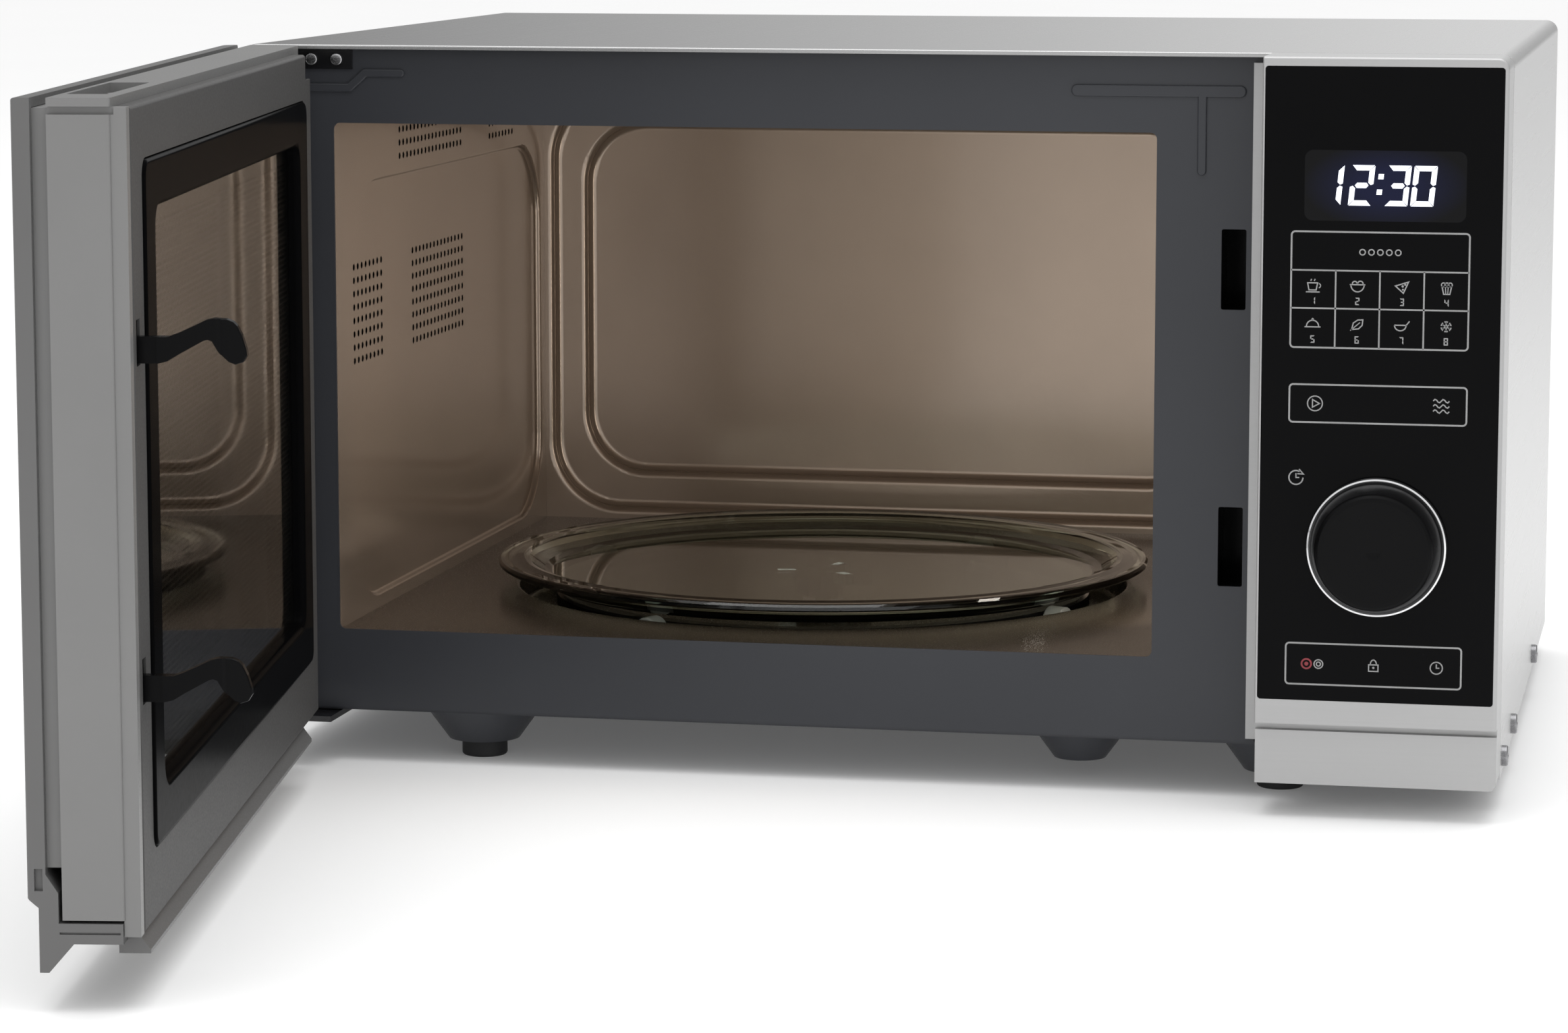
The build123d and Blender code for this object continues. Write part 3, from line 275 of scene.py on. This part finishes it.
class Ink:
    # flat shapes in (x, z), each made into a thin raised print
    def __init__(self):
        self.faces = []

    def poly(self, pts):
        self.faces.append(list(pts))
        return self

    def line(self, pts, w, closed=False):
        p = [Vector((a[0], a[1])) for a in pts]
        n = len(p)
        left, right = [], []
        for i in range(n):
            if closed:
                a, b, c = p[i - 1], p[i], p[(i + 1) % n]
            else:
                a, b, c = p[max(0, i - 1)], p[i], p[min(n - 1, i + 1)]
            d1 = (b - a).normalized() if (b - a).length > 1e-6 else (c - b).normalized()
            d2 = (c - b).normalized() if (c - b).length > 1e-6 else d1
            n1, n2 = Vector((-d1.y, d1.x)), Vector((-d2.y, d2.x))
            mid = (n1 + n2)
            mid = mid.normalized() if mid.length > 1e-6 else n1
            k = w / 2 / max(0.4, mid.dot(n1))
            left.append(b + mid * k)
            right.append(b - mid * k)
        for i in range(n if closed else n - 1):
            j = (i + 1) % n
            self.faces.append([right[i], right[j], left[j], left[i]])
        return self

    def arc(self, cx, cz, r, w, a0=0.0, a1=360.0, rz=None, n=28):
        rz = r if rz is None else rz
        full = abs(a1 - a0 - 360.0) < 1e-6
        k = n if full else n + 1
        pts = [(cx + r * math.cos(math.radians(a0 + (a1 - a0) * i / n)), cz + rz * math.sin(math.radians(a0 + (a1 - a0) * i / n))) for i in range(k)]
        return self.line(pts, w, closed=full)

    def disc(self, cx, cz, r, rz=None, n=18):
        rz = r if rz is None else rz
        return self.poly([(cx + r * math.cos(2 * math.pi * i / n), cz + rz * math.sin(2 * math.pi * i / n)) for i in range(n)])

    def box(self, x0, x1, z0, z1, w, r=1.3):
        pts = []
        for cx, cz, a in ((x1 - r, z1 - r, 0), (x0 + r, z1 - r, 90), (x0 + r, z0 + r, 180), (x1 - r, z0 + r, 270)):
            for i in range(6):
                t = math.radians(a + 18 * i)
                pts.append((cx + r * math.cos(t), cz + r * math.sin(t)))
        return self.line(pts, w, closed=True)

    def build(self, name, mat, body="cabinet", lift=0.0):
        bm = bmesh.new()
        for f in self.faces:
            vs = [bm.verts.new(V(p[0], FY - INK - lift, p[1])) for p in f]
            bm.faces.new(vs)
        bmesh.ops.remove_doubles(bm, verts=bm.verts[:], dist=1e-7)
        res = bmesh.ops.extrude_face_region(bm, geom=bm.faces[:])
        bmesh.ops.translate(bm, vec=(0, INK / 1000.0, 0), verts=[g for g in res["geom"] if isinstance(g, bmesh.types.BMVert)])
        bmesh.ops.recalc_face_normals(bm, faces=bm.faces[:])
        me = bpy.data.meshes.new(name)
        bm.to_mesh(me)
        bm.free()
        o = bpy.data.objects.new(name, me)
        scene.collection.objects.link(o)
        me.materials.append(mat)
        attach(o, body)
        return o


# seven-segment figures
SEG = {"0": "abcdef", "1": "bc", "2": "abged", "3": "abgcd", "4": "fgbc", "5": "afgcd", "6": "afgedc", "7": "abc", "8": "abcdefg", "9": "abcdfg"}


def figure(ink, ch, x, z, w, h, t, lean):
    def q(a, b):
        return (x + a + lean * b, z + b)
    g = t * 0.10
    m = h / 2
    bars = {
        "a": [(g, h), (w - g, h), (w - t, h - t), (t, h - t)],
        "d": [(t, t), (w - t, t), (w - g, 0), (g, 0)],
        "g": [(t * 0.9, m), (t * 1.3, m + t / 2), (w - t * 1.3, m + t / 2), (w - t * 0.9, m), (w - t * 1.3, m - t / 2), (t * 1.3, m - t / 2)],
        "f": [(0, h - g), (t, h - t - g), (t, m + t * 0.55), (t * 0.5, m + g), (0, m + t * 0.3)],
        "b": [(w, h - g), (w, m + t * 0.3), (w - t * 0.5, m + g), (w - t, m + t * 0.55), (w - t, h - t - g)],
        "e": [(0, g), (0, m - t * 0.3), (t * 0.5, m - g), (t, m - t * 0.55), (t, t + g)],
        "c": [(w, g), (w - t, t + g), (w - t, m - t * 0.55), (w - t * 0.5, m - g), (w, m - t * 0.3)],
    }
    for s in SEG[ch]:
        ink.poly([q(a, b) for a, b in bars[s]])


clock = Ink()
LEAN = 0.10
for ch, x in (("1", 173.6), ("2", 184.6), ("3", 197.6), ("0", 206.9)):
    figure(clock, ch, x, 226.6, 8.3, 14.6, 1.9, LEAN)
for zz in (230.6, 236.2):
    x = 194.4 + LEAN * (zz - 226.6)
    clock.poly([(x, zz), (x + 1.9, zz), (x + 2.1, zz + 1.9), (x + 0.2, zz + 1.9)])
clock.build("display_figures", M["digit_white"], lift=0.01)

# the faint light of the display behind its figures
gm, gnt, gb, gco = start("display_halo")
gsep = gnt.nodes.new("ShaderNodeSeparateXYZ")
gnt.links.new(stretched(gnt, gco, (1.0, 0.0, 1.9)), gsep.inputs["Vector"])
gv = gnt.nodes.new("ShaderNodeVectorMath")
gv.operation = "DISTANCE"
gc = V(198.4, 0, 233.9)
gv.inputs[1].default_value = (gc.x, 0.0, gc.z * 1.9)
gnt.links.new(stretched(gnt, gco, (1.0, 0.0, 1.9)), gv.inputs[0])
gf = span(gnt, gv.outputs["Value"], 1.0, 0.0, 0.010, 0.030)
gnt.links.new(tones(gnt, gf, [(0.0, (0.0, 0.0, 0.0)), (1.0, (0.004, 0.006, 0.028))]), gb.inputs["Emission Color"])
gnt.links.new(tones(gnt, gf, [(0.0, (0.005, 0.005, 0.0055)), (1.0, (0.006, 0.006, 0.009))]), gb.inputs["Base Color"])
gb.inputs["Emission Strength"].default_value = 1.0
gb.inputs["Roughness"].default_value = 0.10
gb.inputs["Specular IOR Level"].default_value = 0.10
halo = Ink()
pts = []
for cx, cz, a in ((224.0, 243.5, 0), (172.0, 243.5, 90), (172.0, 224.0, 180), (224.0, 224.0, 270)):
    for i in range(6):
        t = math.radians(a + 18 * i)
        pts.append((cx + 3 * math.cos(t), cz + 3 * math.sin(t)))
halo.poly(pts)
hb = halo.build("display_window", gm, lift=-0.035)

# printed boxes
LW = 0.62
prog = Ink()
prog.box(164.6, 228.5, 174.9, 217.0, LW)
prog.line([(164.6, 203.0), (228.5, 203.0)], LW * 0.9)
prog.line([(164.6, 189.2), (228.5, 189.2)], LW * 0.9)
for x in (180.7, 196.6, 212.5):
    prog.line([(x, 175.0), (x, 203.0)], LW * 0.9)
prog.build("print_programs", M["ink_grey"])
keys = Ink()
keys.box(164.6, 228.5, 147.6, 161.4, LW)
keys.box(164.6, 228.3, 51.0, 66.2, LW)
keys.build("print_keys", M["ink_grey"], lift=0.002)

icons = Ink()
T = 0.42
# title row: a run of small marks
for i in range(5):
    icons.arc(190.2 + i * 3.2, 209.8, 1.0, T)


def num(ch, x, z, h=2.7):
    figure(icons, ch, x - h * 0.29, z, h * 0.58, h, 0.42, 0.0)


cells = [172.6, 188.6, 204.6, 220.6]
# upper row: cup, bowl, slice, tub
x, z = cells[0], 196.4
icons.line([(x - 2.0, z + 2.0), (x - 1.5, z - 0.6), (x + 1.1, z - 0.6), (x + 1.6, z + 2.0)], T, closed=True)
icons.arc(x + 1.9, z + 1.0, 0.8, T * 0.8, -80, 80, n=8).line([(x - 2.6, z - 1.3), (x + 2.4, z - 1.3)], T)
icons.line([(x - 0.9, z + 2.7), (x - 0.6, z + 3.4)], T).line([(x + 0.4, z + 2.7), (x + 0.7, z + 3.4)], T)
x = cells[1]
icons.arc(x, z + 1.6, 2.4, T, 180, 360, rz=2.6, n=14).line([(x - 2.8, z + 1.6), (x + 2.8, z + 1.6)], T)
icons.arc(x - 1.0, z + 1.9, 0.9, T, 0, 180, n=8).arc(x + 1.0, z + 1.9, 1.0, T, 0, 180, n=8)
x = cells[2]
icons.line([(x - 2.4, z + 1.4), (x + 2.3, z + 2.9), (x + 0.5, z - 1.2)], T, closed=True)
icons.disc(x + 0.2, z + 1.3, 0.42).disc(x + 1.1, z + 1.9, 0.36).disc(x + 0.3, z + 0.1, 0.34)
x = cells[3]
icons.line([(x - 1.7, z + 1.5), (x - 1.1, z - 1.3), (x + 1.1, z - 1.3), (x + 1.7, z + 1.5)], T, closed=True)
for dx in (-1.2, 0.0, 1.2):
    icons.arc(x + dx, z + 2.1, 0.75, T * 0.9, n=12)
icons.line([(x - 0.5, z + 1.4), (x - 0.35, z - 1.2)], T * 0.8).line([(x + 0.5, z + 1.4), (x + 0.35, z - 1.2)], T * 0.8)
# lower row: covered dish, leaf, pan, drop
x, z = cells[0], 182.6
icons.arc(x, z, 2.2, T, 0, 180, n=14).line([(x - 2.9, z - 0.2), (x + 2.9, z - 0.2)], T).disc(x, z + 2.6, 0.42)
x = cells[1]
icons.line([(x - 1.9, z - 0.9), (x - 1.3, z + 1.5), (x + 0.3, z + 2.6), (x + 2.1, z + 2.7), (x + 1.9, z + 0.7), (x + 0.6, z - 0.6)], T, closed=True)
icons.line([(x - 2.4, z - 1.3), (x + 1.1, z + 1.7)], T * 0.8)
x = cells[2]
icons.arc(x - 0.4, z + 1.0, 2.1, T, 180, 360, rz=2.0, n=12).line([(x - 2.5, z + 1.0), (x + 1.7, z + 1.0), (x + 2.9, z + 2.5)], T)
x = cells[3]
for i in range(3):
    a = math.radians(60 * i + 30)
    icons.line([(x - 2.0 * math.cos(a), z + 0.8 - 2.0 * math.sin(a)), (x + 2.0 * math.cos(a), z + 0.8 + 2.0 * math.sin(a))], T)
for i in range(6):
    a = math.radians(60 * i + 30)
    c, s = math.cos(a), math.sin(a)
    icons.line([(x + 1.9 * c - 0.6 * s, z + 0.8 + 1.9 * s + 0.6 * c), (x + 1.25 * c, z + 0.8 + 1.25 * s), (x + 1.9 * c + 0.6 * s, z + 0.8 + 1.9 * s - 0.6 * c)], T * 0.8)
for i, x in enumerate(cells):
    num(str(i + 1), x, 190.6)
    num(str(i + 5), x, 176.6)
# start and power fields
x, z = 173.9, 154.5
icons.arc(x, z, 2.7, T).line([(x - 0.9, z - 1.4), (x + 1.6, z), (x - 0.9, z + 1.4)], T, closed=True)
x = 219.4
for j in range(3):
    icons.line([(x - 2.9 + 0.58 * i, z - 1.9 + 1.9 * j + 0.62 * math.sin(i * math.pi / 2.5)) for i in range(11)], T)
# clock by the knob
x, z = 167.4, 127.2
icons.arc(x, z, 2.55, T * 1.15, 60, 360, n=24).line([(x, z + 1.6), (x, z), (x + 1.2, z)], T)
icons.line([(x + 1.1, z + 3.1), (x + 2.7, z + 1.3), (x + 0.5, z + 1.4)], T)
# lower fields: two rings, lock, clock
z = 58.6
icons.arc(176.6, z, 1.6, T).arc(176.6, z, 0.75, T)
x = 196.6
icons.line([(x - 1.7, z - 2.0), (x + 1.7, z - 2.0), (x + 1.7, z + 0.4), (x - 1.7, z + 0.4)], T, closed=True)
icons.arc(x, z + 0.5, 1.1, T, 0, 180, rz=1.7, n=10).disc(x, z - 0.7, 0.42)
x = 219.4
icons.arc(x, z, 2.2, T).line([(x, z + 1.4), (x, z), (x + 1.1, z)], T)
icons.build("print_marks", M["ink_grey"], lift=0.004)
stop = Ink()
stop.arc(172.2, z, 1.75, 0.62).disc(172.2, z, 0.75)
stop.build("print_stop", M["ink_red"], lift=0.004)


# ------------------------------------------------------------------ perforated sheet in the door's window
def screen():
    x0, x1, z0, z1, y = -200.9, 115.4, 57.1, 250.9, 30.5
    pitch, hole = 2.3, 0.80
    rowh = pitch * math.sqrt(3) / 2
    verts, faces, seen = [], [], {}

    def vert(x, z, dy=0.0):
        key = (round(x, 3), round(z, 3), dy)
        if key not in seen:
            seen[key] = len(verts)
            verts.append(D(x, y + dy, z))
        return seen[key]
    px0, px1, pz0, pz1 = -191.5, 106.0, 66.5, 241.5
    rows = int((pz1 - pz0) / rowh)
    cols = int((px1 - px0) / pitch)
    R = pitch / math.sqrt(3)
    for j in range(rows):
        for i in range(cols):
            cx = px0 + (i + 0.5 * (j % 2)) * pitch
            cz = pz0 + j * rowh
            o, h = [], []
            for k in range(6):
                a = math.radians(60 * k + 30)
                o.append(vert(cx + R * math.cos(a), cz + R * math.sin(a)))
                h.append(vert(cx + hole * math.cos(a), cz + hole * math.sin(a)))
            for k in range(6):
                n = (k + 1) % 6
                faces.append((o[k], o[n], h[n], h[k]))
    lx1 = px0 + (cols - 0.5) * pitch
    lz1 = pz0 + (rows - 1) * rowh
    e = 0.9
    for a, b, c, d in ((x0, x1, z0, pz0 - e + 0.6), (x0, x1, lz1 + e - 0.6, z1), (x0, px0 - e + 0.6, pz0 - e, lz1 + e), (lx1 + e - 0.6, x1, pz0 - e, lz1 + e)):
        faces.append((vert(a, c, -0.06), vert(b, c, -0.06), vert(b, d, -0.06), vert(a, d, -0.06)))
    me = bpy.data.meshes.new("window_mesh_sheet")
    me.from_pydata(verts, [], faces)
    me.update()
    o = bpy.data.objects.new("window_mesh_sheet", me)
    scene.collection.objects.link(o)
    me.materials.append(M["screen_metal"])
    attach(o, "door")
    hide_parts("window_screen")
    return o


screen()


# ------------------------------------------------------------------ bright domed rivets on the upper hinge
def rivets(name, places, radius, rise, y):
    bm = bmesh.new()
    for cx, cz in places:
        rings = []
        for k in range(7):
            a = math.radians(90.0 * k / 6)
            r, out = radius * math.cos(a), rise * math.sin(a)
            if k == 6:
                rings.append([bm.verts.new(V(cx, y - out, cz))])
            else:
                rings.append([bm.verts.new(V(cx + r * math.cos(t), y - out, cz + r * math.sin(t))) for t in [2 * math.pi * i / 28 for i in range(28)]])
        for lo_ring, up_ring in zip(rings, rings[1:]):
            for i in range(28):
                j = (i + 1) % 28
                if len(up_ring) == 1:
                    bm.faces.new((lo_ring[i], lo_ring[j], up_ring[0]))
                else:
                    bm.faces.new((lo_ring[i], lo_ring[j], up_ring[j], up_ring[i]))
        bm.faces.new(list(reversed(rings[0])))
    bmesh.ops.recalc_face_normals(bm, faces=bm.faces[:])
    me = bpy.data.meshes.new(name)
    bm.to_mesh(me)
    bm.free()
    for f in me.polygons:
        f.use_smooth = len(f.vertices) < 28
    o = bpy.data.objects.new(name, me)
    scene.collection.objects.link(o)
    me.materials.append(M["spring_steel"])
    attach(o, "cabinet")
    return o


rivets("hinge_rivet_caps", [(-216.0, 274.2), (-206.0, 274.2)], 2.25, 0.2, 35.4)

# ------------------------------------------------------------------ floor, light, camera
fm, fnt, fb, fco = start("studio_floor")
fnt.links.new(tones(fnt, noise(fnt, fco, 3.0, 2.0), [(0.3, (0.965, 0.965, 0.965)), (0.7, (0.975, 0.975, 0.975))]), fb.inputs["Base Color"])
fb.inputs["Emission Color"].default_value = (1.0, 1.0, 1.0, 1.0)
fb.inputs["Emission Strength"].default_value = 0.09
fb.inputs["Roughness"].default_value = 0.9
fb.inputs["Specular IOR Level"].default_value = 0.1
bm = bmesh.new()
bmesh.ops.create_grid(bm, x_segments=8, y_segments=8, size=30.0)
fme = bpy.data.meshes.new("floor")
bm.to_mesh(fme)
bm.free()
floor = bpy.data.objects.new("floor", fme)
scene.collection.objects.link(floor)
fme.materials.append(fm)

world = bpy.data.worlds.new("studio")
scene.world = world
world.use_nodes = True
wn = world.node_tree
wn.nodes.clear()
wo = wn.nodes.new("ShaderNodeOutputWorld")
bg = wn.nodes.new("ShaderNodeBackground")
wc = wn.nodes.new("ShaderNodeTexCoord")
ws = wn.nodes.new("ShaderNodeSeparateXYZ")
wn.links.new(wc.outputs["Generated"], ws.inputs["Vector"])
def grey_ramp(stops):
    r = wn.nodes.new("ShaderNodeValToRGB")
    while len(r.color_ramp.elements) < len(stops):
        r.color_ramp.elements.new(0.5)
    for e, (p, v) in zip(r.color_ramp.elements, stops):
        e.position = p
        e.color = (v, v, v, 1)
    return r


# low round the room: pale in front and behind, greyer to the left and darker to the right; white overhead
turn = wn.nodes.new("ShaderNodeMath")
turn.operation = "ARCTAN2"
wn.links.new(ws.outputs["X"], turn.inputs[0])
wn.links.new(ws.outputs["Y"], turn.inputs[1])
around = wn.nodes.new("ShaderNodeMapRange")
around.inputs["From Min"].default_value = -math.pi
around.inputs["From Max"].default_value = math.pi
wn.links.new(turn.outputs["Value"], around.inputs["Value"])
# front at both ends, left at a quarter, rear at the half, right at three quarters
low = grey_ramp([(0.0, 0.95), (0.12, 0.85), (0.22, 0.35), (0.445, 0.10), (0.475, 0.60), (0.493, 1.0), (0.515, 0.70), (0.56, 0.20),
                 (0.72, 0.22), (0.84, 0.85), (1.0, 0.95)])
wn.links.new(around.outputs["Result"], low.inputs["Fac"])
high = grey_ramp([(0.25, 0.0), (0.66, 1.0)])
wn.links.new(ws.outputs["Z"], high.inputs["Fac"])
sky = wn.nodes.new("ShaderNodeMix")
sky.data_type = "RGBA"
wn.links.new(high.outputs["Color"], sky.inputs[0])
wn.links.new(low.outputs["Color"], sky.inputs[6])
sky.inputs[7].default_value = (1.0, 1.0, 1.0, 1.0)
wn.links.new(sky.outputs[2], bg.inputs["Color"])
bg.inputs["Strength"].default_value = 1.0
wn.links.new(bg.outputs["Background"], wo.inputs["Surface"])


def softbox(name, place, aim, w, h, power, color=(1, 1, 1)):
    l = bpy.data.lights.new(name, "AREA")
    l.shape = "RECTANGLE"
    l.size, l.size_y, l.energy, l.color = w, h, power, color
    o = bpy.data.objects.new(name, l)
    o.location = place
    o.rotation_mode = "QUATERNION"
    o.rotation_quaternion = (Vector(aim) - Vector(place)).to_track_quat("-Z", "Y")
    scene.collection.objects.link(o)
    return o


softbox("top_light", (0.1, -0.2, 2.6), (0.0, 0.0, 0.1), 2.6, 2.2, 40.5)
softbox("oven_light", V(-48, 46, 150), V(-48, 360, 150), 0.28, 0.17, 0.068, (1.0, 0.92, 0.82))
softbox("oven_lamp", V(104, 112, 142), V(-200, 330, 142), 0.02, 0.15, 0.135, (1.0, 0.92, 0.82))

cam = bpy.data.cameras.new("camera")
cam.sensor_fit = "HORIZONTAL"
cam.sensor_width = 36.0
cam.lens = 36.0 * 7038.9 / 2380.0
cam.shift_y = -60.0 / 2380.0
cam.clip_end = 100.0
co = bpy.data.objects.new("camera", cam)
scene.collection.objects.link(co)
yaw, pitch = math.radians(11.832), math.radians(7.627)
fwd = Vector((-math.sin(yaw) * math.cos(pitch), math.cos(yaw) * math.cos(pitch), -math.sin(pitch)))
co.location = V(328.11, -1676.05, 351.46)
co.rotation_mode = "QUATERNION"
co.rotation_quaternion = fwd.to_track_quat("-Z", "Y")
scene.camera = co
scene.view_settings.view_transform = "Standard"
